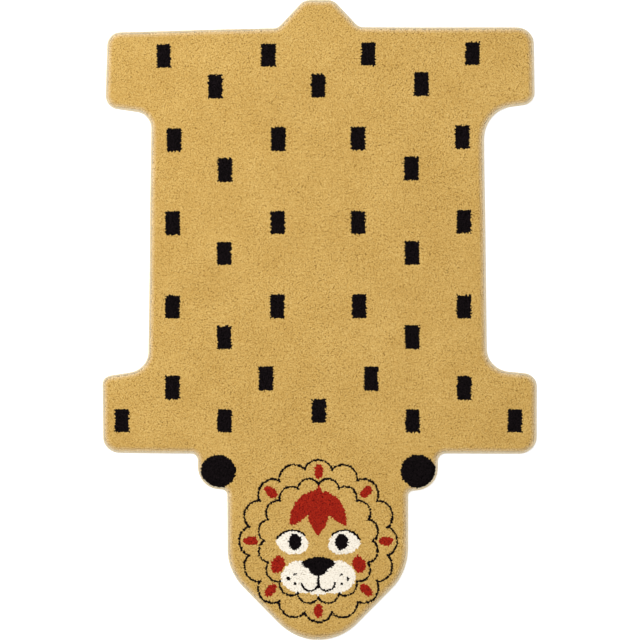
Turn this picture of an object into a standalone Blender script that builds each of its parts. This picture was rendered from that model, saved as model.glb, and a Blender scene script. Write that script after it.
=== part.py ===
"""A lion shaped children's rug, lying flat: one cut-pile hide and the overlocked yarn round its edge.

Units are metres and +Z is up. The rug lies on the plane z = 0 with its middle at the origin. The tail points
to +Y and the chin to -Y, and the pile faces up.
"""

import math
from typing import NamedTuple

import bmesh
import bpy
from mathutils import Vector

# Driving dimensions
RUG_LENGTH = 1.700  # tip of the tail to the chin
FORE_SPREAD = 1.155  # across the two front paws
HIND_SPREAD = 1.141  # across the two hind paws
FLANK_WIDTH = 0.896  # across the back, between the paws
HEAD_WIDTH = 0.482  # cheek to cheek
RUG_THICKNESS = 0.013  # backing and pile together
EDGE_DIAMETER = 0.0064  # the overlocked yarn, wound round the backing's rim
PILE_ROUNDING = 0.0036  # the pile's rim, where the yarn ends fall outwards
CLEARANCE = 0.0003  # between the hide's wall and the yarn on it
EDGE_LIFT = 0.0004  # the yarn hugs the wall just clear of the floor, which carries the hide alone

# Places along the rug, measured from its middle towards the tail
TAIL_TIP = RUG_LENGTH / 2
RUMP = 0.7765  # the hind edge, on both sides of the tail
HIND_HEEL = 0.566  # the front edge of the hind paws
FORE_TOE = -0.1375  # the back edge of the front paws
NECK = -0.3540  # the front edge of the front paws
JAW = -0.6650  # where the cheeks turn in towards the chin
CHIN = -RUG_LENGTH / 2

# The ears, which are plain round lobes between the front paws and the cheeks
EAR_REACH = 0.081  # out from the cheek
EAR_LENGTH = 0.098  # along the rug, from the front paws' front edge
EAR_ROUNDING = 0.060

# How finely the outline is stepped, and how unevenly it was cut
ARC_SAG = 0.00016  # how far an arc's chord may lie inside it
STRAIGHT_STEP = 0.0400
LEAST_ARC_STEPS = 4
WOBBLE = 0.0006  # the scissors' drift to either side
WOBBLE_WAVES = ((11, 0.3), (23, 1.9), (37, 4.1))  # waves round the whole rug, and their phases
EDGE_RESOLUTION = 2  # of the yarn's tube, which gives it 8 sides
ROUNDING_STEPS = 3
WELD = 0.00001  # corners this close are one
UPRIGHT = 0.9  # how much of a flat face's normal points up or down, at least

GOLD = (0.640, 0.405, 0.115, 1.0)
BEIGE = (0.730, 0.560, 0.330, 1.0)


class Corner(NamedTuple):
    """A rounded corner of the hide, given alike for both sides, with what the cut added on each.

    The cuts are lengths outwards, towards the tail and on the radius.
    """

    name: str
    across: float
    along: float
    radius: float
    left_cut: tuple
    right_cut: tuple


def corners():
    """The corners of one side, from the tail to the chin.

    Returns:
        A list of Corner, in the order in which they are met.
    """
    hind, fore = HIND_SPREAD / 2, FORE_SPREAD / 2
    belly, chest = FLANK_WIDTH / 2 - 0.002, FLANK_WIDTH / 2 + 0.004
    cheek = HEAD_WIDTH / 2
    lobe, foot = cheek + EAR_REACH, NECK - EAR_LENGTH
    return [
        Corner("tail_tip", 0.040, TAIL_TIP, 0.037, (0.001, 0.0, 0.0), (-0.002, 0.0, 0.0)),
        Corner("tail_root", 0.108, RUMP, 0.028, (0.003, -0.001, 0.0), (-0.003, 0.001, 0.0)),
        Corner("hind_toe", hind - 0.005, RUMP - 0.005, 0.036, (-0.003, -0.008, 0.0), (0.004, 0.006, 0.010)),
        Corner("hind_heel", hind, HIND_HEEL, 0.033, (-0.001, -0.002, 0.003), (0.001, 0.007, 0.002)),
        Corner("hind_pit", belly, HIND_HEEL - 0.017, 0.050, (0.001, -0.003, -0.008), (-0.009, 0.007, 0.034)),
        Corner("fore_pit", chest, FORE_TOE + 0.006, 0.054, (0.003, 0.001, 0.0), (-0.007, 0.001, 0.008)),
        Corner("fore_toe", fore, FORE_TOE - 0.005, 0.033, (-0.001, -0.007, -0.007), (0.0, 0.0, 0.004)),
        Corner("fore_heel", fore - 0.002, NECK, 0.043, (-0.001, 0.002, 0.0), (0.001, -0.001, 0.002)),
        Corner("ear_root", lobe, NECK, 0.018, (0.001, -0.001, 0.0), (-0.007, -0.001, 0.002)),
        Corner("ear", lobe, foot, EAR_ROUNDING, (0.001, 0.002, 0.0), (-0.007, -0.001, 0.001)),
        Corner("ear_foot", cheek, foot, 0.014, (0.004, 0.002, 0.0), (-0.005, -0.001, 0.0)),
        Corner("jaw", cheek, JAW, 0.145, (0.003, -0.001, -0.003), (-0.005, -0.003, 0.003)),
        Corner("chin", 0.063, CHIN, 0.148, (0.002, 0.001, 0.0), (-0.005, 0.001, 0.0)),
    ]


def cut_corners():
    """Both sides' corners, anticlockwise from the chin and up the right side.

    Returns:
        A list of (place, radius) pairs, with each place as a 2D vector.
    """
    side = corners()
    right = [
        (Vector((c.across + c.right_cut[0], c.along + c.right_cut[1])), c.radius + c.right_cut[2])
        for c in reversed(side)
    ]
    left = [
        (Vector((-c.across - c.left_cut[0], c.along + c.left_cut[1])), c.radius + c.left_cut[2])
        for c in side
    ]
    return right + left


def rounded_corner(before, corner, after, radius):
    """The arc that rounds one corner, as points from its first tangent point to its last."""
    back = (before - corner).normalized()
    on = (after - corner).normalized()
    half = back.angle(on) / 2
    centre = corner + (back + on).normalized() * (radius / math.sin(half))
    start = corner + back * (radius / math.tan(half)) - centre
    end = corner + on * (radius / math.tan(half)) - centre
    turn = math.atan2(start.x * end.y - start.y * end.x, start.dot(end))
    step = 2 * math.acos(1 - ARC_SAG / radius)
    steps = max(LEAST_ARC_STEPS, math.ceil(abs(turn) / step))
    points = []
    for i in range(steps + 1):
        angle = turn * i / steps
        cos, sin = math.cos(angle), math.sin(angle)
        points.append(centre + Vector((start.x * cos - start.y * sin, start.x * sin + start.y * cos)))
    return points


def outline():
    """The cut edge of the rug, with straight runs divided and the cut's slight wobble.

    Returns:
        A list of (point, outward normal) pairs, anticlockwise.
    """
    cut = cut_corners()
    clean = []
    for i, (place, radius) in enumerate(cut):
        before, after = cut[i - 1][0], cut[(i + 1) % len(cut)][0]
        arc = rounded_corner(before, place, after, radius)
        if clean:
            clean += divided(clean[-1], arc[0])
        clean += arc
    clean += divided(clean[-1], clean[0])
    normals = [outward(clean[i - 1], clean[(i + 1) % len(clean)]) for i in range(len(clean))]
    return [
        (point + normal * wobble(i / len(clean)), normal)
        for i, (point, normal) in enumerate(zip(clean, normals, strict=True))
    ]


def divided(start, end):
    """The points between two places, evenly spaced, without the places themselves."""
    steps = max(1, round((end - start).length / STRAIGHT_STEP))
    return [start.lerp(end, i / steps) for i in range(1, steps)]


def outward(before, after):
    """The unit normal to the right of the way from one point to the next, which is outwards here."""
    way = (after - before).normalized()
    return Vector((way.y, -way.x))


def wobble(share):
    """How far the cut strays outwards at a share of the way round the rug."""
    waves = (math.sin(2 * math.pi * count * share + phase) for count, phase in WOBBLE_WAVES)
    return WOBBLE * sum(waves) / len(WOBBLE_WAVES)


def yarn_material(name, colour, roughness):
    """A dull textile finish in one colour."""
    material = bpy.data.materials.new(name)
    material.use_nodes = True
    shader = material.node_tree.nodes["Principled BSDF"]
    shader.inputs["Base Color"].default_value = colour
    shader.inputs["Roughness"].default_value = roughness
    shader.inputs["Metallic"].default_value = 0.0
    material.diffuse_color = colour
    return material


def outline_curve(name, inset):
    """A closed curve object along the outline, lying flat at z = 0.

    Args:
        name: The name of the new object and its curve.
        inset: How far inside the cut edge the curve runs.

    Returns:
        The new object, in no collection yet.
    """
    curve = bpy.data.curves.new(name, "CURVE")
    ring = [point - normal * inset for point, normal in outline()]
    spline = curve.splines.new("POLY")
    spline.points.add(len(ring) - 1)
    for spot, point in zip(spline.points, ring, strict=True):
        spot.co = (*point, 0.0, 1.0)
    spline.use_cyclic_u = True
    return bpy.data.objects.new(name, curve)


def as_mesh(source, name):
    """A mesh object in place of a filled curve, with its caps welded and made one face each.

    Args:
        source: The curve object, which is removed.
        name: The name of the new object.

    Returns:
        The new object, which stands where the curve stood.
    """
    bpy.context.view_layer.update()
    evaluated = source.evaluated_get(bpy.context.evaluated_depsgraph_get())
    mesh = bpy.data.meshes.new_from_object(evaluated)
    mesh.name = name
    made = bpy.data.objects.new(name, mesh)
    made.matrix_world = source.matrix_world
    bm = bmesh.new()
    bm.from_mesh(mesh)
    bmesh.ops.remove_doubles(bm, verts=bm.verts, dist=WELD)
    bmesh.ops.dissolve_faces(bm, faces=[face for face in bm.faces if abs(face.normal.z) > UPRIGHT])
    bm.to_mesh(mesh)
    bm.free()
    for collection in source.users_collection:
        collection.objects.link(made)
    bpy.data.objects.remove(source)
    return made


def round_over(made, height):
    """Rounds the rim of a flat slab at one height.

    Args:
        made: The slab's mesh object.
        height: Where the rim lies, in the mesh's own frame.
    """
    bm = bmesh.new()
    bm.from_mesh(made.data)
    rim = [edge for edge in bm.edges if all(abs(vert.co.z - height) < WELD for vert in edge.verts)]
    bmesh.ops.bevel(
        bm,
        geom=rim,
        offset=PILE_ROUNDING,
        offset_type="OFFSET",
        segments=ROUNDING_STEPS,
        profile=0.5,
        affect="EDGES",
    )
    bmesh.ops.recalc_face_normals(bm, faces=bm.faces)
    bm.to_mesh(made.data)
    bm.free()


def make_hide(collection):
    """The hide: backing and pile as one flat slab, with the pile's rim rounded over.

    Args:
        collection: The collection that the hide goes in.

    Returns:
        The new object.
    """
    flat = outline_curve("hide_cut", EDGE_DIAMETER + CLEARANCE)
    flat.data.dimensions = "2D"
    flat.data.fill_mode = "BOTH"
    flat.data.extrude = RUG_THICKNESS / 2
    flat.location.z = RUG_THICKNESS / 2
    collection.objects.link(flat)
    hide = as_mesh(flat, "hide_pile")
    round_over(hide, RUG_THICKNESS / 2)
    hide.data.materials.append(yarn_material("gold_yarn", GOLD, 0.95))
    return hide


def make_edge(collection):
    """The overlocked edge: a cord of yarn that lies against the hide's wall, all the way round.

    Args:
        collection: The collection that the edge goes in.

    Returns:
        The new object.
    """
    edge = outline_curve("overlocked_edge", EDGE_DIAMETER / 2)
    edge.data.dimensions = "3D"
    edge.data.bevel_depth = EDGE_DIAMETER / 2
    edge.data.bevel_resolution = EDGE_RESOLUTION
    edge.location.z = EDGE_DIAMETER / 2 + EDGE_LIFT
    edge.data.materials.append(yarn_material("beige_yarn", BEIGE, 0.9))
    collection.objects.link(edge)
    return edge


def main():
    """Clears the file and builds the rug in a collection of its own."""
    for old in list(bpy.data.objects):
        bpy.data.objects.remove(old)
    collection = bpy.data.collections.new("lion_rug")
    bpy.context.scene.collection.children.link(collection)
    make_hide(collection)
    make_edge(collection)


main()
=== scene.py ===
"""The looks of the lion shaped rug: its tufted pile, its backing cloth and its overlocked edge.

Lengths are in metres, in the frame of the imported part: +Z is up, the tail points to +Y and the chin to -Y.
The pile is made of single tufts of yarn. Each tuft takes the colour that the markings have at its root, so
the edges of every marking are as ragged as tufting makes them.
"""

import logging
import math
from collections.abc import Callable
from dataclasses import dataclass
from enum import Enum
from functools import cache

import bmesh
import bpy
import numpy as np
from bpy.types import Material, Node, NodeSocket, NodeTree, Object
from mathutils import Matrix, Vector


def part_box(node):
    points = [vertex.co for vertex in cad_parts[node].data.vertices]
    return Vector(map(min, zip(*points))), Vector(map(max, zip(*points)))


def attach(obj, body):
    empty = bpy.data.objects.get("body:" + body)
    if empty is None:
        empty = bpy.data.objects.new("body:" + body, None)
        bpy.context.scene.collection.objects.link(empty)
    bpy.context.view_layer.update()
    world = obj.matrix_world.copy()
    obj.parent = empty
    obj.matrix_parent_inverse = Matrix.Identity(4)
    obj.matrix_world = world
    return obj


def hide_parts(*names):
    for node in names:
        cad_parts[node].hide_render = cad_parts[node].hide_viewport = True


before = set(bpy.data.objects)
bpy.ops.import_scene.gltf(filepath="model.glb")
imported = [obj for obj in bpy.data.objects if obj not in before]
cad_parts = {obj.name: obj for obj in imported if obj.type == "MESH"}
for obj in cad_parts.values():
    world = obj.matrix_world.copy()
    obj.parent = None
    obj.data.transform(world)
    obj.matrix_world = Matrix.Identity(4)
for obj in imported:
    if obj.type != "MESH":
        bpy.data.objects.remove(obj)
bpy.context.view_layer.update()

log = logging.getLogger("lion_rug")

BODY = "root"
HIDE_NODE = "hide_pile"
EDGE_NODE = "overlocked_edge"
BAKE_MAP = "OFBake"
MM = 0.001
AXIS = -0.0025  # the markings' middle line, which the cut left a little to one side
LEVEL = 0.9  # a face lies flat where its normal's Z is past this
FIBRE_RISE = 0.25  # fibres are drawn out upwards, so there are fewer of them in a metre's height
WHITE = (1.0, 1.0, 1.0, 1.0)

Colour = tuple[float, float, float]
Point = tuple[float, float]


class Yarn(Enum):
    """The pile's yarns. A value names the yarn's pieces and material."""

    GOLD = "gold"
    BLACK = "black"
    CREAM = "cream"
    RUST = "rust"


YARNS = list(Yarn)


class Bench:
    """A node tree with short ways to add nodes and sockets."""

    column, row, rows = 190, -160, 4  # how its nodes are laid out in the editor

    def __init__(self, tree: NodeTree) -> None:
        """Takes the geometry or shader node tree that the nodes go in."""
        self.tree = tree

    @classmethod
    def on_new_group(cls, name: str, kind: str) -> "Bench":
        """A bench on a new node group, whose kind is "GeometryNodeTree" or "ShaderNodeTree"."""
        return cls(bpy.data.node_groups.new(name, kind))

    def fill(self, node: Node, sockets: dict) -> None:
        """Fills a node's inputs.

        Args:
            node: The node.
            sockets: Input name or index to a value, or to the output socket that feeds it.
        """
        for key, value in sockets.items():
            if isinstance(value, NodeSocket):
                self.tree.links.new(value, node.inputs[key])
            else:
                node.inputs[key].default_value = value

    def add(self, kind: str, sockets: dict | None = None, **settings: object) -> Node:
        """Adds a node, sets its properties, and fills its inputs.

        Args:
            kind: The node's type name.
            sockets: Input name or index to a value or socket.
            settings: The node's own properties.

        Returns:
            The new node.
        """
        node = self.tree.nodes.new(kind)
        count = len(self.tree.nodes)
        node.location = (self.column * count, self.row * (count % self.rows))
        for name, value in settings.items():
            setattr(node, name, value)
        self.fill(node, sockets or {})
        return node

    def made(self, kind: str, sockets: dict | None = None, **settings: object) -> NodeSocket:
        """The first output of a new node, which takes what add takes."""
        return self.add(kind, sockets, **settings).outputs[0]

    def math(self, operation: str, first: object, second: object = 0.0) -> NodeSocket:
        """The result of a Math node on two numbers or sockets."""
        return self.made("ShaderNodeMath", {0: first, 1: second}, operation=operation)

    def plus(self, first: object, second: object) -> NodeSocket:
        """The sum of two numbers."""
        return self.math("ADD", first, second)

    def minus(self, first: object, second: object) -> NodeSocket:
        """The first number less the second."""
        return self.math("SUBTRACT", first, second)

    def times(self, first: object, second: object) -> NodeSocket:
        """The product of two numbers."""
        return self.math("MULTIPLY", first, second)

    def vector(self, operation: str, first: object, second: object) -> NodeSocket:
        """The result of a Vector Math node on two vectors or sockets."""
        return self.made("ShaderNodeVectorMath", {0: first, 1: second}, operation=operation)

    def scaled(self, vector: NodeSocket, share: NodeSocket) -> NodeSocket:
        """A vector or colour times a number."""
        return self.made("ShaderNodeVectorMath", {0: vector, "Scale": share}, operation="SCALE")

    def length(self, vector: NodeSocket) -> NodeSocket:
        """The length of a vector."""
        return self.add("ShaderNodeVectorMath", {0: vector}, operation="LENGTH").outputs["Value"]

    def combined(self, x: object, y: object, z: object) -> NodeSocket:
        """A vector made of three numbers or sockets."""
        return self.made("ShaderNodeCombineXYZ", {"X": x, "Y": y, "Z": z})

    def blend(self, share: NodeSocket, first: NodeSocket, second: NodeSocket) -> NodeSocket:
        """A mix of two colours, where the share is the second one's."""
        return self.add("ShaderNodeMix", {0: share, 6: first, 7: second}, data_type="RGBA").outputs[2]

    def named(self, name: str, kind: str = "FLOAT") -> NodeSocket:
        """A named attribute of the geometry, of one data type."""
        return self.made("GeometryNodeInputNamedAttribute", {"Name": name}, data_type=kind)

    def attribute(self, name: str, kind: str = "Fac") -> NodeSocket:
        """A number that the mesh carries for a shader, or a vector where the kind is "Vector"."""
        return self.add("ShaderNodeAttribute", attribute_name=name).outputs[kind]

    def random(self, low: object, high: object, seed: NodeSocket) -> NodeSocket:
        """A random number from low to high for each point or instance."""
        sockets = {"Min": low, "Max": high, "Seed": seed}
        return self.add("FunctionNodeRandomValue", sockets).outputs["Value"]

    def noise(self, scale: object, detail: float, roughness: float = 0.5, rise: float = 1.0) -> NodeSocket:
        """A noise texture over the object's own coordinates.

        Args:
            scale: How many bumps a metre holds.
            detail: How many finer layers it has.
            roughness: The finer layers' share.
            rise: The scale's share upwards, under 1 where the bumps are drawn out into fibres.

        Returns:
            The socket of a number from 0 to 1.
        """
        place = self.add("ShaderNodeTexCoord").outputs["Object"]
        place = self.vector("MULTIPLY", place, (1.0, 1.0, rise))
        sockets = {"Vector": place, "Scale": scale, "Detail": detail, "Roughness": roughness}
        return self.add("ShaderNodeTexNoise", sockets).outputs["Fac"]

    def mottle(self, spread: object, scale: float, detail: float, rise: float = 1.0) -> NodeSocket:
        """Noise that lies evenly on both sides of 0, times a spread."""
        return self.times(self.minus(self.noise(scale, detail, rise=rise), 0.5), spread)

    def store(
        self, geometry: NodeSocket, name: str, value: object, kind: str = "FLOAT", domain: str = "POINT"
    ) -> NodeSocket:
        """The geometry with a field stored as a named attribute, of one data type and domain."""
        sockets = {"Geometry": geometry, "Name": name, "Value": value}
        return self.made("GeometryNodeStoreNamedAttribute", sockets, data_type=kind, domain=domain)

    def begin(self, inputs: dict[str, object], output: str, kind: str) -> dict[str, NodeSocket]:
        """Gives the tree its own inputs and output.

        Args:
            inputs: Input name to the value that it starts with, or to its socket type if it has none.
            output: The output's name.
            kind: The output's socket type, such as "Geometry".

        Returns:
            The inputs' sockets inside the tree, by name.
        """
        add_socket = self.tree.interface.new_socket
        kinds = {float: "Float", int: "Int", tuple: "Vector"}
        for name, value in inputs.items():
            own_kind = kinds.get(type(value))
            made = add_socket(name=name, in_out="INPUT", socket_type=f"NodeSocket{own_kind or value}")
            if own_kind:
                made.default_value = value
        add_socket(name=output, in_out="OUTPUT", socket_type=f"NodeSocket{kind}")
        return {socket.name: socket for socket in self.add("NodeGroupInput").outputs}

    def finish(
        self, geometry: NodeSocket, mapped: NodeSocket, spares: tuple[str, ...], yarn: NodeSocket
    ) -> None:
        """Maps, smooths and dresses the tree's mesh, and puts it out.

        Args:
            geometry: The mesh.
            mapped: Each corner's place in the bake map.
            spares: The named attributes that it no longer needs.
            yarn: Its material.
        """
        geometry = self.store(geometry, BAKE_MAP, mapped, "FLOAT2", "CORNER")
        for spare in spares:
            geometry = self.made("GeometryNodeRemoveAttribute", {"Geometry": geometry, "Name": spare})
        geometry = self.made("GeometryNodeSetShadeSmooth", {"Geometry": geometry})
        geometry = self.made("GeometryNodeSetMaterial", {"Geometry": geometry, "Material": yarn})
        self.add("NodeGroupOutput", {0: geometry})


def placed(name: str, data: bpy.types.ID) -> Object:
    """Puts a mesh, curve, light or camera in the scene.

    Args:
        name: The new object's name.
        data: What it shows.

    Returns:
        The new object, at the origin.
    """
    made = bpy.data.objects.new(name, data)
    bpy.context.scene.collection.objects.link(made)
    return made


def shaped_as(bm: bmesh.types.BMesh, name: str) -> Object:
    """Puts a mesh that was built in bmesh in the scene.

    Args:
        bm: The mesh's shape. It is freed.
        name: The new object's name.

    Returns:
        The new object, at the origin.
    """
    mesh = bpy.data.meshes.new(name)
    bm.to_mesh(mesh)
    bm.free()
    return placed(name, mesh)


def plain_mesh(source: Object, name: str) -> Object:
    """Keeps what an object's modifiers or curve settings make of it, as a plain mesh.

    Args:
        source: The object. It is removed.
        name: The new object's name.

    Returns:
        The new object, at the origin.
    """
    bpy.context.view_layer.update()
    evaluated = source.evaluated_get(bpy.context.evaluated_depsgraph_get())
    mesh = bpy.data.meshes.new_from_object(evaluated)
    mesh.name = name
    bpy.data.objects.remove(source)
    return placed(name, mesh)


def dressed_by(source: Object, tree: NodeTree, values: dict[str, object], name: str) -> Object:
    """Runs a geometry tree on a source object and keeps the result as a plain mesh.

    Args:
        source: The object that holds the tree's input geometry. It is removed.
        tree: The geometry node tree.
        values: The tree's input names and their values.
        name: The new object's name.

    Returns:
        The new object, at the origin.
    """
    modifier = source.modifiers.new("maker", "NODES")
    modifier.node_group = tree
    identifiers = {s.name: s.identifier for s in tree.interface.items_tree if s.in_out == "INPUT"}
    for key, value in values.items():
        modifier[identifiers[key]] = value
    return plain_mesh(source, name)


def bare_material(name: str, roughness: float, specular: float) -> tuple[Material, Bench, Node]:
    """A material with nothing but its Principled shader.

    Args:
        name: The material's name.
        roughness: The shader's roughness.
        specular: The shader's specular level.

    Returns:
        The material, its bench and its shader.
    """
    made = bpy.data.materials.new(name)
    made.use_nodes = True
    bench, shader = Bench(made.node_tree), made.node_tree.nodes["Principled BSDF"]
    bench.fill(shader, {"Roughness": roughness, "Specular IOR Level": specular})
    return made, bench, shader


def point_object(name: str, points: np.ndarray, **attributes: np.ndarray) -> Object:
    """A mesh of loose points, with named attributes.

    Args:
        name: The new object's name.
        points: An array of 3D points.
        attributes: Attribute name to one number or one 3D vector a point.

    Returns:
        The new object.
    """
    mesh = bpy.data.meshes.new(name)
    mesh.vertices.add(len(points))
    mesh.vertices.foreach_set("co", points.astype(np.float32).ravel())
    for key, values in attributes.items():
        vectors = values.ndim == 2
        made = mesh.attributes.new(key, "FLOAT_VECTOR" if vectors else "FLOAT", "POINT")
        made.data.foreach_set("vector" if vectors else "value", values.astype(np.float32).ravel())
    return placed(name, mesh)


def smooth_step(low: float, high: float, values: np.ndarray) -> np.ndarray:
    """0 at low, 1 at high, and an even curve between them.

    Args:
        low: Where the curve starts.
        high: Where it ends.
        values: The numbers to place on it.

    Returns:
        The curve's value for each number.
    """
    share = np.clip((values - low) / (high - low), 0, 1)
    return share * share * (3 - 2 * share)


@dataclass
class CutEdge:
    """The line along which the hide was cut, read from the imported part.

    Attributes:
        points: The ring's 2D points, anticlockwise.
    """

    points: np.ndarray

    @classmethod
    def of_node(cls, name: str) -> "CutEdge":
        """Reads the ring where a flat solid's wall meets its underside.

        Args:
            name: The solid's node.

        Returns:
            The ring.
        """
        near, upright = 0.01 * MM, 0.3  # a face stands upright where its normal's Z is under this
        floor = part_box(name)[0].z
        bm = bmesh.new()
        bm.from_mesh(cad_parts[name].data)
        bmesh.ops.remove_doubles(bm, verts=bm.verts, dist=near)
        rim = []
        for edge in bm.edges:
            if all(abs(vert.co.z - floor) < near for vert in edge.verts):
                tilts = sorted(abs(face.normal.z) for face in edge.link_faces)
                if tilts[0] < upright and tilts[-1] > LEVEL:
                    rim.append(edge)
        follows = {}
        for edge in rim:
            for vert in edge.verts:
                follows.setdefault(vert, []).append(edge.other_vert(vert))
        start = rim[0].verts[0]
        ring, before, at = [start], start, follows[start][0]
        while at != start:
            ring.append(at)
            ahead = [other for other in follows[at] if other != before]
            before, at = at, ahead[0]
        made = cls(np.array([vert.co.xy for vert in ring], float))
        bm.free()
        return made if made.area() > 0 else cls(made.points[::-1].copy())

    def area(self) -> float:
        """The area inside the ring, in square metres."""
        after = np.roll(self.points, -1, axis=0)
        return float((self.points[:, 0] * after[:, 1] - after[:, 0] * self.points[:, 1]).sum()) / 2

    def outward(self) -> np.ndarray:
        """The unit outward normal at each point of the ring.

        Returns:
            An array of 2D vectors.
        """
        way = np.roll(self.points, -1, axis=0) - np.roll(self.points, 1, axis=0)
        normal = np.stack([way[:, 1], -way[:, 0]], axis=1)
        return normal / np.linalg.norm(normal, axis=1)[:, None]

    def moved_out(self, distance: float) -> np.ndarray:
        """The ring's 2D points, moved outwards by a distance."""
        return self.points + self.outward() * distance

    def depth(self, points: np.ndarray) -> tuple[np.ndarray, np.ndarray]:
        """How deep inside the ring each point lies, and which way is out there.

        Args:
            points: An array of 2D points.

        Returns:
            The depths, which are negative outside, and unit vectors towards the nearest edge.
        """
        start = self.points
        run = np.roll(start, -1, axis=0) - start
        squares = (run**2).sum(axis=1)
        outwards = np.stack([run[:, 1], -run[:, 0]], axis=1) / np.sqrt(squares)[:, None]
        depths, ways = np.empty(len(points)), np.empty((len(points), 2))
        chunk = 4000
        for low in range(0, len(points), chunk):
            some = points[low : low + chunk, None, :]
            share = np.clip(((some - start) * run).sum(axis=2) / squares, 0, 1)
            away = np.linalg.norm(some - (start + share[..., None] * run), axis=2)
            nearest = away.argmin(axis=1)
            y, y0, y1 = some[..., 1], start[:, 1], (start + run)[:, 1]
            across = start[:, 0] + (y - y0) / np.where(run[:, 1] == 0, 1, run[:, 1]) * run[:, 0]
            crossings = (((y0 > y) != (y1 > y)) & (some[..., 0] < across)).sum(axis=1)
            sign = np.where(crossings % 2 == 1, 1, -1)
            depths[low : low + chunk] = sign * away[np.arange(len(nearest)), nearest]
            ways[low : low + chunk] = outwards[nearest]
        return depths, ways


@dataclass(frozen=True)
class Patch:
    """An oval patch of one yarn. Off the middle line it is there on both sides."""

    place: str
    yarn: Yarn
    across: float
    along: float
    half_width: float
    half_length: float
    turn: float = 0.0
    roundness: float = 2.0  # 2 is an oval, and 1 is a leaf with pointed ends

    def covers(self, points: np.ndarray) -> np.ndarray:
        """Which points the patch covers, on either side."""
        return self.side_covers(points, 1) | self.side_covers(points, -1)

    def side_covers(self, points: np.ndarray, side: int) -> np.ndarray:
        """Which points the patch covers on one side.

        Args:
            points: An array of 2D points.
            side: 1 for the side where it is given, or -1 for the other.

        Returns:
            One truth value a point.
        """
        x, y = (points[:, 0] - AXIS) * side - self.across, points[:, 1] - self.along
        cos, sin = math.cos(self.turn), math.sin(self.turn)
        wide = np.abs(x * cos + y * sin) / self.half_width
        long = np.abs(y * cos - x * sin) / self.half_length
        return wide**self.roundness + long**2 <= 1


@dataclass(frozen=True)
class DashRow:
    """One row of dashes: its place along the rug, and how far its pairs lie from the middle line."""

    along: float
    across: tuple[float, ...]


@dataclass
class Dashes:
    """The short black dashes on the hide: a staggered repeat that ends in looser rows at the shoulders."""

    width: float = 0.0382
    length: float = 0.0620
    repeat: float = 0.2225
    repeats: int = 4
    first_four: float = 0.7035
    first_pair: float = 0.6225
    outer: tuple[float, ...] = (0.4100, 0.3825, 0.3855, 0.3870)
    inner: tuple[float, ...] = (0.1320, 0.1055, 0.1060, 0.1070)
    pairs: tuple[float, ...] = (0.2730, 0.2475, 0.2490, 0.2500)
    shoulder_rows: tuple[DashRow, ...] = (
        DashRow(0.6215, (0.0,)),
        DashRow(-0.1545, (0.1390,)),
        DashRow(-0.1800, (0.3875,)),
        DashRow(-0.2415, (0.0,)),
        DashRow(-0.2675, (0.5205, 0.2490)),
    )
    rump_tilt: float = 0.0095  # how far the first row climbs to the right, a metre; it levels out at 0
    slip: float = 0.0007  # how far a dash strays from its place
    seed: int = 5

    def rows(self) -> list[DashRow]:
        """Every row of the repeat, and then those at the shoulders.

        Returns:
            The rows.
        """
        made = []
        for k in range(self.repeats):
            made.append(DashRow(self.first_four - k * self.repeat, (self.outer[k], self.inner[k])))
            made.append(DashRow(self.first_pair - k * self.repeat, (self.pairs[k],)))
        return made + list(self.shoulder_rows)

    def cover(self, points: np.ndarray) -> np.ndarray:
        """Which points lie in a dash.

        Args:
            points: An array of 2D points.

        Returns:
            One truth value a point.
        """
        chance = np.random.default_rng(self.seed)
        covered = np.zeros(len(points), bool)
        for row in self.rows():
            tilt = self.rump_tilt * max(0.0, row.along) / self.first_four
            for across in row.across:
                for side in (1, -1) if across else (1,):
                    slip = chance.normal(0, self.slip, 2)
                    x = points[:, 0] - AXIS - side * across - slip[0]
                    y = points[:, 1] - row.along - tilt * points[:, 0] - slip[1]
                    covered |= (np.abs(x) < self.width / 2) & (np.abs(y) < self.length / 2)
        return covered


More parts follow.
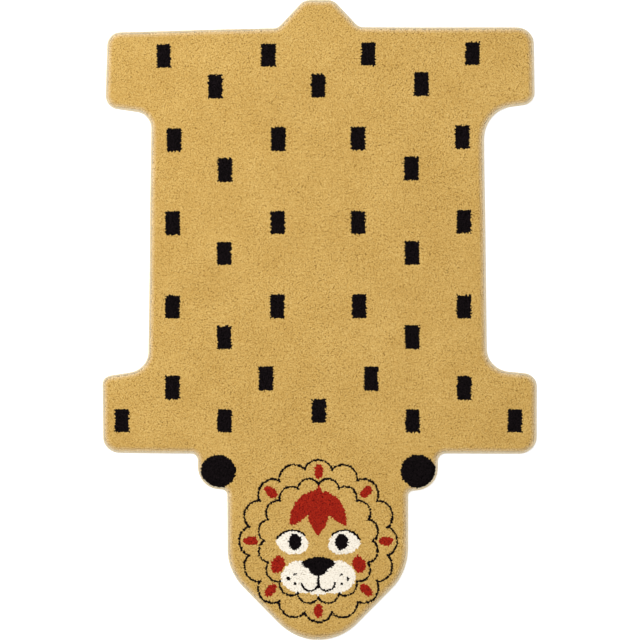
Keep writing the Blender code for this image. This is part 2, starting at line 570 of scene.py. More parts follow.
@dataclass
class LionFace:
    """A plain lion's face for the head: round ears, a petalled mane, a pale muzzle and a rust forelock."""

    middle: float = -0.5860
    petals: int = 16
    petal_swell: float = 0.13
    petal_shape: float = 0.6  # under 1, a petal is fuller than a wave
    mane_reach: Point = (0.1850, 0.1905)
    brow_reach: Point = (0.1420, 0.1480)
    drop_reach: Point = (0.1790, 0.1846)
    drop_size: Point = (0.0118, 0.0198)
    mouth_radius: float = 0.0220
    mouth_along: float = -0.6960
    nose_foot: float = -0.6740
    lid_radius: float = 0.0475
    lid_place: Point = (0.0690, -0.6050)
    lid_turn: float = 0.92
    lid_slant: float = 0.15
    samples: int = 4000
    patches: tuple[Patch, ...] = (
        Patch("ear", Yarn.BLACK, 0.2640, -0.4010, 0.0460, 0.0440),
        Patch("middle lock", Yarn.RUST, 0.0, -0.5060, 0.0290, 0.0670, 0.0, 1.0),
        Patch("side lock", Yarn.RUST, 0.0450, -0.5000, 0.0220, 0.0560, 0.56, 1.0),
        Patch("eye patch", Yarn.CREAM, 0.0690, -0.5900, 0.0430, 0.0310, 0.22),
        Patch("eye", Yarn.BLACK, 0.0620, -0.5880, 0.0180, 0.0215),
        Patch("cheek", Yarn.RUST, 0.1080, -0.6480, 0.0180, 0.0230, 0.30),
        Patch("chin", Yarn.CREAM, 0.0, -0.7080, 0.0360, 0.0205),
        Patch("muzzle", Yarn.CREAM, 0.0410, -0.6810, 0.0580, 0.0440),
        Patch("nose bridge", Yarn.BLACK, 0.0, -0.6450, 0.0440, 0.0170),
        Patch("nose tip", Yarn.BLACK, 0.0, -0.6570, 0.0250, 0.0210),
        Patch("upper whisker", Yarn.BLACK, 0.0610, -0.6740, 0.0042, 0.0042),
        Patch("outer whisker", Yarn.BLACK, 0.0790, -0.6860, 0.0042, 0.0042),
        Patch("lower whisker", Yarn.BLACK, 0.0620, -0.6980, 0.0042, 0.0042),
    )

    def ring_point(self, angle: float, reach: Point, swell: float = 0.0) -> Point:
        """A point on an oval round the middle of the face.

        Args:
            angle: Its angle from the right, in radians.
            reach: Half the oval's width and half its length.
            swell: How much further out it lies, as a share.

        Returns:
            The 2D point.
        """
        grown = 1 + swell
        return AXIS + reach[0] * grown * math.cos(angle), self.middle + reach[1] * grown * math.sin(angle)

    def petalled_ring(self, reach: Point, start: float) -> list[Point]:
        """A closed oval ring of round petals.

        Args:
            reach: Half its width and half its length, at the notches between petals.
            start: How far round the petals are turned, in petals.

        Returns:
            The ring's 2D points.
        """
        made = []
        for k in range(self.samples):
            angle = 2 * math.pi * k / self.samples
            wave = abs(math.sin(angle * self.petals / 2 + math.pi * start))
            made.append(self.ring_point(angle, reach, self.petal_swell * wave**self.petal_shape))
        return made

    def arc(self, place: Point, radius: float, start: float, end: float) -> list[Point]:
        """A round arc.

        Args:
            place: Its centre, from the rug's middle line.
            radius: Its radius.
            start: The angle at which it starts, in radians.
            end: The angle at which it ends.

        Returns:
            Its 2D points.
        """
        angles = [start + (end - start) * k / self.samples for k in range(self.samples)]
        return [(AXIS + place[0] + radius * math.cos(a), place[1] + radius * math.sin(a)) for a in angles]

    def lines(self) -> list[list[Point]]:
        """Every line that is one tuft wide: the mane's two rings, the mouth and the eyelids.

        Returns:
            Each line's 2D points.
        """
        made = [self.petalled_ring(self.mane_reach, 0.5), self.petalled_ring(self.brow_reach, 0.0)]
        for side in (1, -1):
            curl = (side * self.mouth_radius, self.mouth_along)
            outer, inner = (2 * math.pi, math.pi) if side > 0 else (math.pi, 2 * math.pi)
            made.append(self.arc(curl, self.mouth_radius, outer, inner))
            lid = (side * self.lid_place[0], self.lid_place[1])
            upright = math.pi / 2 - side * self.lid_slant
            made.append(self.arc(lid, self.lid_radius, upright - self.lid_turn, upright + self.lid_turn))
        return [*made, [(AXIS, self.mouth_along), (AXIS, self.nose_foot)]]

    def drops(self) -> list[Patch]:
        """The rust drops in every second petal of the mane.

        Returns:
            One patch for each pair of mirrored drops, and for each drop on the middle line.
        """
        made = []
        for k in range(self.petals):
            angle = 2 * math.pi * k / self.petals
            across, along = self.ring_point(angle, self.drop_reach)
            if k % 2 == 0 and across - AXIS > -MM:
                turn = angle - math.pi / 2
                made.append(Patch(f"drop {k}", Yarn.RUST, across - AXIS, along, *self.drop_size, turn))
        return made

    def paint(self, points: np.ndarray, codes: np.ndarray) -> None:
        """Gives the head's roots their yarns, apart from the lines'.

        Args:
            points: An array of 2D points.
            codes: The yarn number of each point, which is changed.
        """
        for patch in (*self.drops(), *self.patches):
            codes[patch.covers(points)] = YARNS.index(patch.yarn)


@dataclass(frozen=True)
class PileZone:
    """A stretch of the pile that is one piece."""

    name: str
    low: float
    high: float


@dataclass(frozen=True)
class Wave:
    """A slow wave over the rug: how fast it turns across and along, in radians a metre, and its start."""

    across: float
    along: float
    start: float = 0.0

    def at(self, points: np.ndarray) -> np.ndarray:
        """The wave's value, from -1 to 1, at each 2D point."""
        return np.sin(self.across * points[:, 0] + self.along * points[:, 1] + self.start)


@dataclass
class TuftTree:
    """Geometry nodes that stand a tuft of yarn on every root."""

    name: str = "tufts_on_roots"
    sides: int = 3
    narrowing: float = 0.45  # how far inside its foot a tuft's tip is drawn in the bake map
    no_limit: float = -9.0  # across and along, no tuft reaches as far as this
    spares: tuple[str, ...] = ("root", "lean", "reach", "girth")

    def tuft(self, bench: Bench, given: dict[str, NodeSocket]) -> NodeSocket:
        """One tuft of unit size: a stub with a flared foot and a domed tip, open at the root.

        Args:
            bench: The tree's bench.
            given: The tree's inputs.

        Returns:
            The tuft's geometry, with its "rise" and "unfold" attributes.
        """
        sockets = {"Vertices": self.sides, "Radius": 1.0, "Depth": 1.0}
        stub = bench.add("GeometryNodeMeshCylinder", sockets, fill_type="TRIANGLE_FAN").outputs
        sockets = {"Geometry": stub["Mesh"], "Translation": (0.0, 0.0, 0.5)}
        raised = bench.made("GeometryNodeTransform", sockets)
        sockets = {"Geometry": raised, "Selection": stub["Bottom"]}
        opened = bench.made("GeometryNodeDeleteGeometry", sockets, domain="FACE")
        place = bench.made("GeometryNodeInputPosition")
        split = bench.add("ShaderNodeSeparateXYZ", {0: place}).outputs
        height = split["Z"]
        flat = bench.vector("MULTIPLY", place, (1.0, 1.0, 0.0))
        sockets = {"Value": height, "To Min": given["Foot Share"], "To Max": 1.0}
        waist = bench.made("ShaderNodeMapRange", sockets)
        x, y = bench.times(split["X"], waist), bench.times(split["Y"], waist)
        dome = bench.times(bench.minus(1.0, bench.length(flat)), given["Dome Share"])
        narrowed = bench.minus(1.0, bench.times(height, self.narrowing))
        risen = bench.store(opened, "rise", height)
        laid_out = bench.store(risen, "unfold", bench.scaled(flat, narrowed), "FLOAT_VECTOR")
        sockets = {"Geometry": laid_out, "Position": bench.combined(x, y, bench.plus(height, dome))}
        return bench.made("GeometryNodeSetPosition", sockets)

    def build(self) -> NodeTree:
        """Makes the tree.

        Returns:
            The geometry node tree.
        """
        bench = Bench.on_new_group(self.name, "GeometryNodeTree")
        inputs = {
            "Roots": "Geometry",
            "Tuft Radius": 2.9 * MM,
            "Girth Spread": 0.08,
            "Foot Share": 1.50,
            "Dome Share": 0.13,
            "Lowest": 1.2 * MM,
            "Cell": 2.3 * MM,
            "Map Low": (0.0, 0.0, 0.0),
            "Map Size": (1.0, 1.0, 1.0),
            "Seed": 11,
            "Yarn": "Material",
        }
        given = bench.begin(inputs, "Pile", "Geometry")
        place = bench.made("GeometryNodeInputPosition")
        rooted = bench.store(given["Roots"], "root", place, "FLOAT_VECTOR")
        least, most = bench.minus(1.0, given["Girth Spread"]), bench.plus(1.0, given["Girth Spread"])
        girth = bench.times(bench.random(least, most, given["Seed"]), bench.named("girth"))
        radius = bench.times(girth, given["Tuft Radius"])
        size = bench.combined(radius, radius, bench.named("reach"))
        twist = bench.random(0.0, 2 * math.pi, given["Seed"])
        spun = bench.made("FunctionNodeAxisAngleToRotation", {"Axis": (0.0, 0.0, 1.0), "Angle": twist})
        sockets = {"Rotation": spun, "Vector": bench.named("lean", "FLOAT_VECTOR")}
        leant = bench.made("FunctionNodeAlignRotationToVector", sockets, axis="Z")
        sockets = {"Points": rooted, "Instance": self.tuft(bench, given), "Rotation": leant, "Scale": size}
        stood = bench.made("GeometryNodeInstanceOnPoints", sockets)
        real = bench.made("GeometryNodeRealizeInstances", {"Geometry": stood})
        floor = bench.combined(self.no_limit, self.no_limit, given["Lowest"])
        sockets = {"Geometry": real, "Position": bench.vector("MAXIMUM", place, floor)}
        above = bench.made("GeometryNodeSetPosition", sockets)
        reached = bench.scaled(bench.named("unfold", "FLOAT_VECTOR"), given["Cell"])
        spot = bench.vector("ADD", bench.named("root", "FLOAT_VECTOR"), reached)
        offset = bench.vector("SUBTRACT", spot, given["Map Low"])
        mapped = bench.vector("DIVIDE", offset, given["Map Size"])
        bench.finish(above, mapped, self.spares, given["Yarn"])
        return bench.tree


@dataclass
class StitchTree:
    """Geometry nodes that wind yarn round a cord, one slanted turn at a time."""

    name: str = "turns_round_cord"
    turn_steps: int = 10
    yarn_sides: int = 4
    map_columns: float = 50.0
    map_fill: float = 0.9  # the share of a stitch's square in the bake map that it fills
    spares: tuple[str, ...] = ("round", "girdle", "count")

    @staticmethod
    def ring(bench: Bench, sides: int, radius: NodeSocket) -> NodeSocket:
        """A ring that faces outwards with a side and not with a corner.

        Args:
            bench: The tree's bench.
            sides: How many sides it has.
            radius: Its radius.

        Returns:
            The ring's socket.
        """
        plain = bench.made("GeometryNodeCurvePrimitiveCircle", {"Resolution": sides, "Radius": radius})
        sockets = {"Geometry": plain, "Rotation": (0.0, 0.0, math.pi / sides)}
        return bench.made("GeometryNodeTransform", sockets)

    def build(self) -> NodeTree:
        """Makes the tree.

        Returns:
            The geometry node tree.
        """
        bench = Bench.on_new_group(self.name, "GeometryNodeTree")
        inputs = {
            "Line": "Geometry",
            "Turn Radius": 2.5 * MM,
            "Turn Width": 1.0,
            "Yarn Radius": 0.8 * MM,
            "Pitch": 3.0 * MM,
            "Slant": 0.25,
            "Unevenness": 0.08,
            "Seed": 3,
            "Yarn": "Material",
        }
        given = bench.begin(inputs, "Stitches", "Geometry")
        ring = self.ring(bench, self.turn_steps, given["Turn Radius"])
        section = self.ring(bench, self.yarn_sides, given["Yarn Radius"])
        share = bench.add("GeometryNodeSplineParameter").outputs["Factor"]
        widths = bench.combined(given["Turn Width"], 1.0, 1.0)
        oval = bench.made("GeometryNodeTransform", {"Geometry": ring, "Scale": widths})
        round_turn, round_yarn = bench.store(oval, "round", share), bench.store(section, "girdle", share)
        turn = bench.made("GeometryNodeCurveToMesh", {"Curve": round_turn, "Profile Curve": round_yarn})
        line = bench.made("GeometryNodeMeshToCurve", {"Mesh": given["Line"]})
        upright = bench.made("GeometryNodeSetCurveNormal", {"Curve": line}, mode="Z_UP")
        sockets = {"Curve": upright, "Length": given["Pitch"]}
        spaced = bench.made("GeometryNodeResampleCurve", sockets, mode="LENGTH")
        spots = bench.add("GeometryNodeCurveToPoints", {"Curve": spaced}, mode="EVALUATED").outputs
        uneven = given["Unevenness"]
        stray = bench.random(bench.times(uneven, -1.0), uneven, given["Seed"])
        tilt = bench.combined(0.0, bench.plus(given["Slant"], stray), 0.0)
        sockets = {"Rotation": spots["Rotation"], "Rotate By": tilt}
        slanted = bench.made("FunctionNodeRotateRotation", sockets, rotation_space="LOCAL")
        sockets = {"Points": spots["Points"], "Instance": turn, "Rotation": slanted}
        wound = bench.made("GeometryNodeInstanceOnPoints", sockets)
        shade = bench.random(-1.0, 1.0, given["Seed"])
        toned = bench.store(wound, "tone", shade, domain="INSTANCE")
        order = bench.made("GeometryNodeInputIndex")
        counted = bench.store(toned, "count", order, domain="INSTANCE")
        real = bench.made("GeometryNodeRealizeInstances", {"Geometry": counted})
        risen = bench.store(real, "rise", 1.0)
        number = bench.named("count")
        column = bench.math("MODULO", number, self.map_columns)
        row = bench.math("FLOOR", bench.math("DIVIDE", number, self.map_columns))
        u = bench.plus(column, bench.times(bench.named("round"), self.map_fill))
        v = bench.plus(row, bench.times(bench.named("girdle"), self.map_fill))
        cell = 1.0 / self.map_columns
        mapped = bench.combined(bench.times(u, cell), bench.times(v, cell), 0.0)
        bench.finish(risen, mapped, self.spares, given["Yarn"])
        return bench.tree


@cache
def yarn_tone_group() -> NodeTree:
    """A shader group for dyed yarn, whose only output is a colour. It is built once.

    Every tuft has a tone of its own. Painted shade darkens it at the root and round the edges of its tip, a
    painted highlight lightens the middle of its tip and the rim's tufts, and small clumps and wide soft
    patches mottle the pile. What is lighter is also paler, as worn tips are.

    Returns:
        The group.
    """
    fibres, clumps, patches = 1500.0, 165.0, 9.0  # how many of each a metre holds
    fibre_spread = 0.50
    tip_middle, tip_side = 0.08, 0.52  # how far aside on a tip its painted highlight is strongest, and its painted shade darkest
    # the painted tip shading's lift: a painted highlight in a tip's middle, and painted shade at its edges
    # where the tufts meet
    lightest, darkest = 0.31, -0.69
    # under 1, the painted shade at the root ends low down
    painted_root_fade, paling, brightening = 0.7, 0.80, 0.44
    bench = Bench.on_new_group("yarn_tone", "ShaderNodeTree")
    inputs = {
        "Yarn": "Color",
        # Root: the painted shade colour low in the pile
        "Root": "Color",
        "Rim Highlight": "Color",
        "Tuft Spread": 0.1,
        "Clump Spread": 0.2,
        "Patch Spread": 0.05,
        "Painted Tip Spread": 0.0,
    }
    given = bench.begin(inputs, "Colour", "Color")
    # the tip's painted shading, lightest in its middle and darkest round its edges
    sockets = {
        "Value": bench.length(bench.attribute("unfold", "Vector")),
        "From Min": tip_middle,
        "From Max": tip_side,
        "To Min": lightest,
        "To Max": darkest,
    }
    painted_tip_shading = bench.made("ShaderNodeMapRange", sockets, interpolation_type="SMOOTHSTEP")
    own = bench.times(bench.attribute("tone"), given["Tuft Spread"])
    own = bench.plus(own, bench.times(painted_tip_shading, given["Painted Tip Spread"]))
    own = bench.plus(own, bench.mottle(fibre_spread, fibres, 1.0, FIBRE_RISE))
    clumped = bench.mottle(given["Clump Spread"], clumps, 1.0)
    mottled = bench.mottle(given["Patch Spread"], patches, 2.0)
    lift = bench.plus(own, bench.plus(clumped, mottled))
    # painted highlight: the rim's tufts blend towards a paler colour
    rim_highlighted = bench.blend(bench.attribute("rim_highlight"), given["Yarn"], given["Rim Highlight"])
    # painted shade: the colour darkens from the tip down to the root
    rise = bench.math("POWER", bench.attribute("rise"), painted_root_fade)
    shaded = bench.blend(rise, given["Root"], rim_highlighted)
    paleness = bench.minus(1.0, bench.times(lift, paling))
    bleached = bench.made("ShaderNodeGamma", {"Color": shaded, "Gamma": paleness})
    brightness = bench.plus(1.0, bench.times(lift, brightening))
    bench.add("NodeGroupOutput", {"Colour": bench.scaled(bleached, brightness)})
    return bench.tree


@cache
def fibre_relief_group() -> NodeTree:
    """A shader group for the fibres on a yarn, whose only output is a bumped normal. It is built once.

    Returns:
        The group.
    """
    bench = Bench.on_new_group("fibre_relief", "ShaderNodeTree")
    inputs = {"Fineness": 1200.0, "Strength": 0.8, "Depth": 0.4 * MM}
    given = bench.begin(inputs, "Normal", "Vector")
    fibres = bench.noise(given["Fineness"], 2.0, 0.6, FIBRE_RISE)
    sockets = {"Strength": given["Strength"], "Distance": given["Depth"], "Height": fibres}
    bench.add("NodeGroupOutput", {"Normal": bench.made("ShaderNodeBump", sockets)})
    return bench.tree


@dataclass(frozen=True)
class YarnFinish:
    """A dyed yarn."""

    name: str
    colour: Colour
    # painted shade: the yarn's colour at the root, darker where the tufts shade one another
    root: Colour
    # painted highlight: the paler colour that the rim's tufts blend towards
    rim_highlight: Colour
    tuft_spread: float
    clump_spread: float
    patch_spread: float
    # painted shading round each tip: a painted highlight in its middle, painted shade at its edges
    painted_tip_spread: float = 0.0
    roughness: float = 0.95
    specular: float = 0.15
    sheen: float = 0.25
    sheen_roughness: float = 0.5
    sheen_tint: Colour = (1.0, 0.9, 0.7)
    fineness: float = 1700.0

    def material(self) -> Material:
        """Makes the material.

        Returns:
            The new material.
        """
        made, bench, shader = bare_material(self.name, self.roughness, self.specular)
        tones = {
            "Yarn": (*self.colour, 1.0),
            "Root": (*self.root, 1.0),
            "Rim Highlight": (*self.rim_highlight, 1.0),
            "Tuft Spread": self.tuft_spread,
            "Clump Spread": self.clump_spread,
            "Patch Spread": self.patch_spread,
            "Painted Tip Spread": self.painted_tip_spread,
        }
        relief = {"Fineness": self.fineness}
        sockets = {
            "Base Color": bench.made("ShaderNodeGroup", tones, node_tree=yarn_tone_group()),
            "Normal": bench.made("ShaderNodeGroup", relief, node_tree=fibre_relief_group()),
            "Sheen Weight": self.sheen,
            "Sheen Roughness": self.sheen_roughness,
            "Sheen Tint": (*self.sheen_tint, 1.0),
        }
        bench.fill(shader, sockets)
        made.diffuse_color = (*self.colour, 1.0)
        return made


@dataclass(frozen=True)
class ClothFinish:
    """A woven cloth between two colours, with its threads raised."""

    name: str
    dark: Colour
    light: Colour
    roughness: float
    specular: float
    relief: float
    depth: float

    def material(self, pattern: Callable[[Bench], tuple[NodeSocket, NodeSocket]]) -> Material:
        """Makes the material.

        Args:
            pattern: What puts the cloth's shade and its threads' height on a bench.

        Returns:
            The new material.
        """
        made, bench, shader = bare_material(self.name, self.roughness, self.specular)
        shade, height = pattern(bench)
        ramp = bench.add("ShaderNodeValToRGB", {"Fac": shade})
        for stop, colour in zip(ramp.color_ramp.elements, (self.dark, self.light), strict=True):
            stop.color = (*colour, 1.0)
        sockets = {"Strength": self.relief, "Distance": self.depth, "Height": height}
        raised = bench.made("ShaderNodeBump", sockets)
        bench.fill(shader, {"Base Color": ramp.outputs[0], "Normal": raised})
        return made


GOLD = (0.492, 0.308, 0.0818)
# painted shade: each root colour here is its yarn made darker low down, where the tufts shade one another
GOLD_ROOT_SHADE = (0.485, 0.303, 0.0792)
# painted highlight: the paler gold that the rim's tufts blend towards
GOLD_RIM_HIGHLIGHT = (0.690, 0.545, 0.335)
# painted shade: the ground's golds run from much darker than the yarn up to the yarn's own, for the gaps
# between the tufts
SHADED_GOLD_GROUND = ((0.36, 0.225, 0.066), (0.50, 0.320, 0.100))
BLACK = (0.0034, 0.0020, 0.0024)
BLACK_ROOT_SHADE = (0.0025, 0.0015, 0.0018)
CREAM = (0.770, 0.712, 0.610)
CREAM_ROOT_SHADE = (0.68, 0.62, 0.50)
RUST = (0.270, 0.0085, 0.0016)
RUST_ROOT_SHADE = (0.190, 0.007, 0.0015)
EDGE = (0.660, 0.562, 0.383)
EDGE_ROOT_SHADE = (0.55, 0.44, 0.275)
CANVAS = ((0.34, 0.29, 0.21), (0.66, 0.59, 0.46))
FINISHES = {
    Yarn.GOLD: YarnFinish("gold_yarn", GOLD, GOLD_ROOT_SHADE, GOLD_RIM_HIGHLIGHT, 0.07, 0.34, 0.22, 0.19),
    Yarn.BLACK: YarnFinish(
        "black_yarn", BLACK, BLACK_ROOT_SHADE, BLACK, 0.10, 0.0, 0.02, 0.30, specular=0.06, sheen=0.0
    ),
    Yarn.CREAM: YarnFinish("cream_yarn", CREAM, CREAM_ROOT_SHADE, CREAM, 0.03, 0.04, 0.04, 0.14),
    Yarn.RUST: YarnFinish("rust_yarn", RUST, RUST_ROOT_SHADE, RUST, 0.10, 0.25, 0.08, 0.26, sheen=0.06),
}
EDGE_FINISH = YarnFinish("edge_yarn", EDGE, EDGE_ROOT_SHADE, EDGE, 0.06, 0.0, 0.06)
GROUND_FINISH = ClothFinish("tuft_ground", *SHADED_GOLD_GROUND, 1.0, 0.1, relief=0.6, depth=0.4 * MM)
CANVAS_FINISH = ClothFinish("canvas_underside", *CANVAS, 0.9, 0.2, relief=0.8, depth=0.3 * MM)


@dataclass
class Pile:
    """The cut pile: every tuft's root, lean, length and yarn."""

    edge: CutEdge
    dashes: Dashes
    face: LionFace
    pitch: float = 4.1 * MM
    jitter: float = 0.16  # of the pitch
    line_pitch: float = 3.7 * MM
    line_jitter: float = 0.10  # of the line's pitch
    line_room: float = 3.1 * MM  # no other tuft stands this close to a line's tufts
    line_rise: float = 0.45 * MM
    ground: float = 2.2 * MM
    top: float = 12.9 * MM
    radius: float = 4.00 * MM
    foot_share: float = 1.90
    dome_share: float = 0.12
    reach_spread: float = 0.30 * MM
    tone_spread: float = 0.5
    loose_lean: float = 0.12
    swirl_lean: float = 0.08
    swirls: tuple[tuple[Wave, Wave], ...] = (
        (Wave(17, 6), Wave(-11, 31, 1.3)),
        (Wave(-7, 15, 2.1), Wave(27, 13, 0.4)),
    )
    rim: float = 12.0 * MM  # how far in the rim's tufts are shorter and thinner, lean outwards, and take a painted highlight that makes them lighter and paler
    rim_inset: float = 1.1 * MM  # how far inside the cut edge the first roots stand
    rim_drop: float = 4.8 * MM
    rim_lean: float = 0.28
    rim_calm: float = 0.6  # the share of its other leans that the rim loses
    # the rim's painted highlight: how much lighter its tufts' tone is, and how far they blend towards the
    # paler colour
    rim_highlight_tone: float = 0.30
    rim_highlight_share: float = 0.74
    rim_thinning: float = 0.32
    cell_share: float = 0.49  # the share of the pitch that a tuft fills to each side in the bake map
    seed: int = 21
    zones: tuple[PileZone, ...] = (
        PileZone("rump", 0.530, 1.0),
        PileZone("back", 0.205, 0.530),
        PileZone("loin", -0.115, 0.205),
        PileZone("shoulder", -0.300, -0.115),
        PileZone("head", -1.0, -0.300),
    )
    whole_rug: PileZone = PileZone("markings", -1.0, 1.0)

    def grid(self) -> np.ndarray:
        """Jittered rows of roots that fill the box round the cut edge.

        Returns:
            The 2D roots.
        """
        low, high = self.edge.points.min(axis=0), self.edge.points.max(axis=0)
        row_step = self.pitch * math.sqrt(3) / 2
        x, y = np.meshgrid(np.arange(low[0], high[0], self.pitch), np.arange(low[1], high[1], row_step))
        x[1::2] += self.pitch / 2
        rows = np.stack([x.ravel(), y.ravel()], axis=1)
        chance = np.random.default_rng(self.seed)
        return rows + chance.uniform(-self.jitter, self.jitter, rows.shape) * self.pitch

    def line_roots(self) -> np.ndarray:
        """Roots set evenly along the face's lines.

        Returns:
            The 2D roots.
        """
        chance = np.random.default_rng(self.seed + 3)
        made = []
        for line in self.face.lines():
            points = np.array(line)
            run = np.concatenate([[0.0], np.cumsum(np.linalg.norm(np.diff(points, axis=0), axis=1))])
            count = max(2, round(run[-1] / self.line_pitch))
            at = (np.arange(count) + 0.5) / count * run[-1]
            across, along = np.interp(at, run, points[:, 0]), np.interp(at, run, points[:, 1])
            made.append(np.stack([across, along], axis=1))
        roots = np.concatenate(made)
        return roots + chance.normal(0, self.line_jitter * self.line_pitch, roots.shape)

    def clear_of(self, roots: np.ndarray, lines: np.ndarray) -> np.ndarray:
        """The roots that leave room for the lines' tufts.

        Args:
            roots: The rows' roots.
            lines: The lines' roots.

        Returns:
            The roots that are kept.
        """
        low, high = lines.min(axis=0) - self.line_room, lines.max(axis=0) + self.line_room
        near = np.flatnonzero(((roots > low) & (roots < high)).all(axis=1))
        gaps = ((roots[near, None, :] - lines[None, :, :]) ** 2).sum(axis=2).min(axis=1)
        kept = np.ones(len(roots), bool)
        kept[near[gaps < self.line_room**2]] = False
        return roots[kept]

    def planted(self) -> tuple[np.ndarray, np.ndarray, np.ndarray]:
        """Every root, its yarn and whether it is in a line.

        Returns:
            The 2D roots, their places in YARNS, and one truth value each.
        """
        lines = self.line_roots()
        rows = self.clear_of(self.grid(), lines)
        codes = np.zeros(len(rows), int)
        codes[self.dashes.cover(rows)] = YARNS.index(Yarn.BLACK)
        self.face.paint(rows, codes)
        in_line = np.arange(len(rows) + len(lines)) >= len(rows)
        codes = np.concatenate([codes, np.full(len(lines), YARNS.index(Yarn.BLACK))])
        return np.concatenate([rows, lines]), codes, in_line

    def leans(self, roots: np.ndarray, edge_share: np.ndarray, out: np.ndarray) -> np.ndarray:
        """Which way each tuft points: loosely up, combed in slow swirls, and outwards at the rim.

        Args:
            roots: An array of 2D points.
            edge_share: How much each belongs to the rim.
            out: Which way is out at each.

        Returns:
            An array of 3D vectors.
        """
        chance = np.random.default_rng(self.seed + 1)
        loose = chance.normal(0, self.loose_lean, roots.shape)
        swirl = np.stack([first.at(roots) + second.at(roots) for first, second in self.swirls], axis=1)
        calmed = (1 - self.rim_calm * edge_share)[:, None]
        tilt = (loose + self.swirl_lean * swirl / 2) * calmed + out * (self.rim_lean * edge_share)[:, None]
        return np.concatenate([tilt, np.ones((len(roots), 1))], axis=1)

    def facts(
        self, roots: np.ndarray, in_line: np.ndarray, depth: np.ndarray, out: np.ndarray
    ) -> dict[str, np.ndarray]:
        """What each tuft is like.

        Args:
            roots: An array of 2D points.
            in_line: Whether each is in a line.
            depth: How deep in the rug each lies.
            out: Which way is out at each.

        Returns:
            The names of the attributes that the tree and the yarns read, and an array for each.
        """
        chance = np.random.default_rng(self.seed + 2)
        edge_share = 1 - smooth_step(0, self.rim, depth)
        uneven = chance.normal(0, self.reach_spread, len(roots))
        reach = self.top - self.ground - 2 * self.reach_spread + uneven
        reach = (reach + self.line_rise * in_line - self.rim_drop * edge_share) / (1 + self.dome_share)
        tone = np.clip(chance.normal(0, self.tone_spread, len(roots)), -1, 1)
        return {
            "reach": reach,
            "girth": 1 - self.rim_thinning * edge_share,
            # the rim's tufts get a painted highlight, a lighter tone and a paler colour
            "tone": tone + self.rim_highlight_tone * edge_share,
            "rim_highlight": self.rim_highlight_share * edge_share,
            "lean": self.leans(roots, edge_share, out),
        }

    def values(self, spots: np.ndarray) -> dict[str, object]:
        """What the tree is given for one piece, apart from its yarn.

        Args:
            spots: The piece's 3D roots.

        Returns:
            Input name to its value.
        """
        low, high = spots.min(axis=0) - self.pitch, spots.max(axis=0) + self.pitch
        return {
            "Tuft Radius": self.radius,
            "Foot Share": self.foot_share,
            "Dome Share": self.dome_share,
            "Cell": self.pitch * self.cell_share,
            "Map Low": [float(x) for x in low],
            "Map Size": [float(high[0] - low[0]), float(high[1] - low[1]), 1.0],
        }

    def build(self) -> list[Object]:
        """Makes the pile's pieces, one for each zone of gold yarn and one for each other yarn.

        Returns:
            The new objects.
        """
        roots, codes, in_line = self.planted()
        depth, out = self.edge.depth(roots)
        kept = depth > self.rim_inset
        roots, codes, in_line, depth, out = (each[kept] for each in (roots, codes, in_line, depth, out))
        facts = self.facts(roots, in_line, depth, out)
        tree = TuftTree().build()
        made = []
        for code, yarn in enumerate(YARNS):
            material = FINISHES[yarn].material()
            for zone in self.zones if yarn is Yarn.GOLD else (self.whole_rug,):
                chosen = (codes == code) & (roots[:, 1] >= zone.low) & (roots[:, 1] < zone.high)
                spots = np.concatenate([roots[chosen], np.full((chosen.sum(), 1), self.ground)], axis=1)
                name = f"pile_{yarn.value}_{zone.name}"
                own_facts = {key: fact[chosen] for key, fact in facts.items()}
                source = point_object(name + "_roots", spots, **own_facts)
                made.append(dressed_by(source, tree, self.values(spots) | {"Yarn": material}, name))
                log.info("%s: %d tufts", name, len(spots))
        return made


@dataclass
class Backing:
    """The backing cloth that the pile is tufted into: one thin flat sheet."""

    edge: CutEdge
    thickness: float = 2.4 * MM
    grains: float = 420.0  # how many a metre of the ground holds
    canvas_repeat: float = 2.4 * MM
    blotches: float = 60.0  # how many a metre of the canvas holds

    def mesh(self) -> Object:
        """The sheet, with the side that the tufts stand on and the canvas side below.

        Returns:
            The new object, whose underside takes its second material.
        """
        bm = bmesh.new()
        ring = [bm.verts.new((*point, self.thickness)) for point in self.edge.points]
        top = bm.faces.new(ring)
        grown = bmesh.ops.extrude_face_region(bm, geom=[top])["geom"]
        verts = [item for item in grown if isinstance(item, bmesh.types.BMVert)]
        bmesh.ops.translate(bm, verts=verts, vec=(0.0, 0.0, -self.thickness))
        bmesh.ops.recalc_face_normals(bm, faces=bm.faces)
        for face in bm.faces:
            face.material_index = int(face.normal.z < -LEVEL)
        return shaped_as(bm, "backing_cloth")

    def ground(self, bench: Bench) -> tuple[NodeSocket, NodeSocket]:
        """The ground between the tufts: the grain that picks its painted shade colour, and its height, which
        is the same.
        """
        grain = bench.noise(self.grains, 3.0)
        return grain, grain

    def canvas(self, bench: Bench) -> tuple[NodeSocket, NodeSocket]:
        """The plain woven canvas of the underside.

        Args:
            bench: The material's bench.

        Returns:
            Its shade, and the height of its crossing threads.
        """
        place = bench.add("ShaderNodeTexCoord").outputs["Object"]
        split = bench.add("ShaderNodeSeparateXYZ", {0: place}).outputs
        thread = 2 * math.pi / self.canvas_repeat
        warp, weft = [bench.math("SINE", bench.times(split[axis], thread)) for axis in "XY"]
        weave = bench.plus(bench.times(bench.times(warp, weft), 0.5), 0.5)
        blotched = bench.times(bench.noise(self.blotches, 4.0), 0.5)
        return bench.plus(bench.times(weave, 0.5), blotched), weave

    def build(self) -> Object:
        """Makes the sheet and dresses it.

        Returns:
            The new object.
        """
        made = self.mesh()
        made.data.materials.append(GROUND_FINISH.material(self.ground))
        made.data.materials.append(CANVAS_FINISH.material(self.canvas))
        log.info("%s: %.3f square metres", made.name, self.edge.area())
        return made


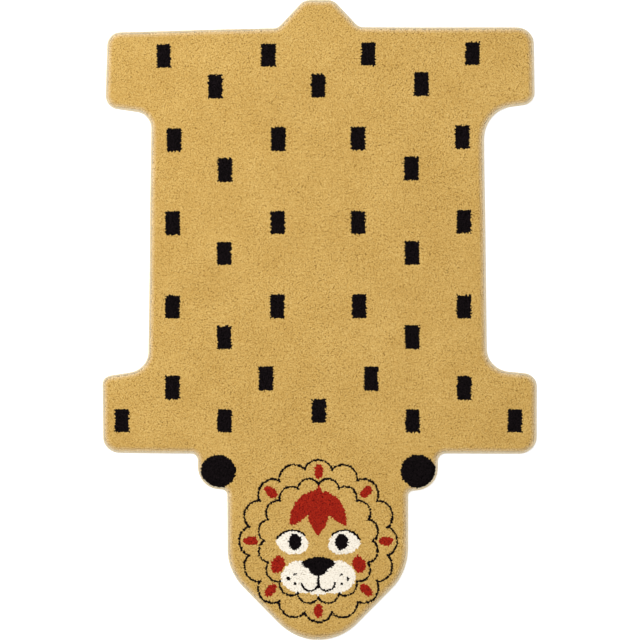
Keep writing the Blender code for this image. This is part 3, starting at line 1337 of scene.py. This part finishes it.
@dataclass
class OverlockedEdge:
    """The yarn that is overlocked round the cut edge: a cord, and the turns of yarn wound on it."""

    edge: CutEdge
    radius: float
    height: float
    clearance: float = 0.3 * MM
    yarn_radius: float = 1.05 * MM
    bite: float = 1.2 * MM  # the turns are this much wider than high at each side, and reach into the pile
    pitch: float = 2.5 * MM
    slant: float = 0.30
    cord_roundness: int = 2

    def line(self, name: str) -> Object:
        """The line that the turns are centred on, as a closed ring of mesh edges.

        Args:
            name: The new object's name.

        Returns:
            The new object.
        """
        ring = self.edge.moved_out(self.clearance + self.radius - self.bite)
        bm = bmesh.new()
        verts = [bm.verts.new((*point, self.height)) for point in ring]
        for k, vert in enumerate(verts):
            bm.edges.new((verts[k - 1], vert))
        return shaped_as(bm, name)

    def cord(self, material: Material) -> Object:
        """The cord under the turns, as a closed tube.

        Args:
            material: What it is dressed in.

        Returns:
            The new object.
        """
        curve = bpy.data.curves.new("edge_cord", "CURVE")
        curve.dimensions = "3D"
        curve.bevel_depth = self.radius - self.yarn_radius
        curve.bevel_resolution = self.cord_roundness
        ring = self.edge.moved_out(self.clearance + self.radius)
        spline = curve.splines.new("POLY")
        spline.points.add(len(ring) - 1)
        for spot, point in zip(spline.points, ring, strict=True):
            spot.co = (*point, self.height, 1.0)
        spline.use_cyclic_u = True
        made = plain_mesh(placed("edge_cord_line", curve), "edge_cord")
        made.data.materials.append(material)
        made.data.shade_smooth()
        return made

    def build(self) -> list[Object]:
        """Makes the cord and its stitches.

        Returns:
            The new objects.
        """
        material = EDGE_FINISH.material()
        turn_radius = self.radius - self.yarn_radius
        values = {
            "Turn Radius": turn_radius,
            "Turn Width": 1 + self.bite / turn_radius,
            "Yarn Radius": self.yarn_radius,
            "Pitch": self.pitch,
            "Slant": self.slant,
            "Yarn": material,
        }
        cord = self.cord(material)
        turns = dressed_by(self.line("edge_stitch_line"), StitchTree().build(), values, "edge_stitches")
        return [cord, turns]


@dataclass(frozen=True)
class Light:
    """A square soft light that faces the rug, with the length of its side and its power in watts."""

    name: str
    place: tuple[float, float, float]
    size: float
    power: float

    def hang(self) -> None:
        """Puts the light in the scene."""
        data = bpy.data.lights.new(self.name, "AREA")
        data.size = self.size
        data.energy = self.power
        made = placed(self.name, data)
        made.location = self.place
        made.rotation_euler = (-made.location).to_track_quat("-Z", "Y").to_euler()


@dataclass
class Studio:
    """A white floor, soft light and a camera straight above the rug."""

    view_pixels: int = 640
    pixel_width: float = 2.6535 * MM  # what one of them shows of the floor
    view_middle: Point = (1.86 * MM, 0.0)
    camera_height: float = 12.0
    camera_reach: float = 100.0
    floor_size: float = 24.0
    floor_colour: Colour = (0.94, 0.94, 0.94)
    floor_glow: float = 0.22
    ambient: float = 0.74
    lights: tuple[Light, ...] = (
        Light("window_light", (-3.0, 2.35, 4.55), 3.9, 336.0),
        Light("room_light", (2.5, -1.5, 4.5), 3.5, 20.0),
    )

    def floor(self) -> None:
        """The pale floor that the rug lies on."""
        bpy.ops.mesh.primitive_plane_add(size=self.floor_size, location=(0.0, 0.0, 0.0))
        made = bpy.context.object
        made.name = "studio_floor"
        material, bench, shader = bare_material("studio_white", 0.9, 0.1)
        base = (*self.floor_colour, 1.0)
        sockets = {"Base Color": base, "Emission Color": WHITE, "Emission Strength": self.floor_glow}
        bench.fill(shader, sockets)
        made.data.materials.append(material)

    def camera(self) -> None:
        """The camera above the rug."""
        data = bpy.data.cameras.new("camera_above")
        data.lens = data.sensor_width * self.camera_height / (self.view_pixels * self.pixel_width)
        data.clip_end = self.camera_reach
        made = placed("camera_above", data)
        made.location = (*self.view_middle, self.camera_height)
        bpy.context.scene.camera = made

    def build(self) -> None:
        """Sets up the floor, the lights, the world and the camera."""
        self.floor()
        for light in self.lights:
            light.hang()
        world = bpy.data.worlds.new("studio_air")
        world.use_nodes = True
        air = {"Color": WHITE, "Strength": self.ambient}
        Bench(world.node_tree).fill(world.node_tree.nodes["Background"], air)
        bpy.context.scene.world = world
        bpy.context.scene.view_settings.view_transform = "Standard"
        self.camera()


def main() -> None:
    """Builds the rug's pieces and the studio, hides the imported parts, and hangs each piece on the body."""
    logging.basicConfig(level=logging.INFO, format="%(name)s %(message)s")
    edge = CutEdge.of_node(HIDE_NODE)
    low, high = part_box(EDGE_NODE)
    pile = Pile(edge, Dashes(), LionFace()).build()
    backing = Backing(edge).build()
    trim = OverlockedEdge(edge, radius=(high.z - low.z) / 2, height=(high.z + low.z) / 2).build()
    for piece in [*pile, backing]:
        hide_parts(HIDE_NODE)
    for piece in trim:
        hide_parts(EDGE_NODE)
    for piece in [*pile, backing, *trim]:
        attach(piece, BODY)
        piece.data.calc_loop_triangles()
        log.info("%s: %d triangles", piece.name, len(piece.data.loop_triangles))
    edge.area()
    Studio().build()


if __name__ == "__main__":
    main()
